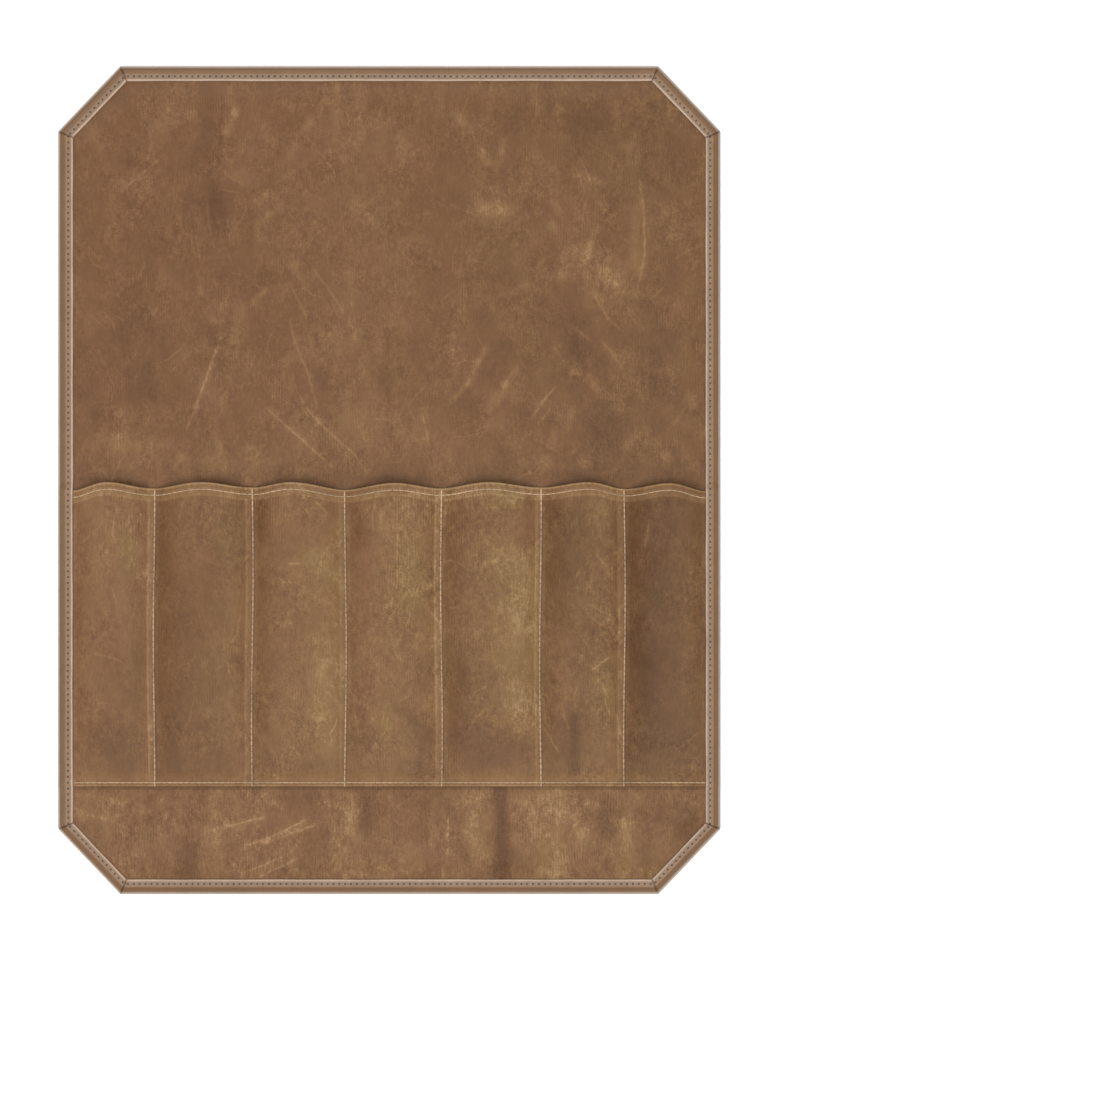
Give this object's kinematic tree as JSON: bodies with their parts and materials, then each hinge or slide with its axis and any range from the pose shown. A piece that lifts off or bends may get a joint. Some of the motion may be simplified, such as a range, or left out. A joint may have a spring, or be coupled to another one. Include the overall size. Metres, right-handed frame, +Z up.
{
  "type": "chef knife roll",
  "caption": "Flat-opened leather roll with cut corners, a bound edge and a row of sewn pockets that hold knives by their blades.",
  "frame": {"origin": "middle of the footprint, on the surface that the opened roll lies on", "axes": "+Y out of the mouths of the pockets, along the roll's longer side; +Z up out of the surface; +X along the row of pockets"},
  "size_m": [0.508, 0.635, 0.0115],
  "materials": {
    "panel_leather": "oiled pull-up leather, mottled and scuffed, semi-matt",
    "pocket_leather": "oiled pull-up leather, mottled and scuffed, semi-matt",
    "binding_leather": "smooth folded leather, a little lighter, semi-matt"
  },
  "bodies": {
    "root": {"back_panel": "panel_leather", "pocket_panel": "pocket_leather", "binding_bottom": "binding_leather", "binding_bottom_right": "binding_leather", "binding_right": "binding_leather", "binding_top_right": "binding_leather", "binding_top": "binding_leather", "binding_top_left": "binding_leather", "binding_left": "binding_leather", "binding_bottom_left": "binding_leather"}
  },
  "joints": []
}
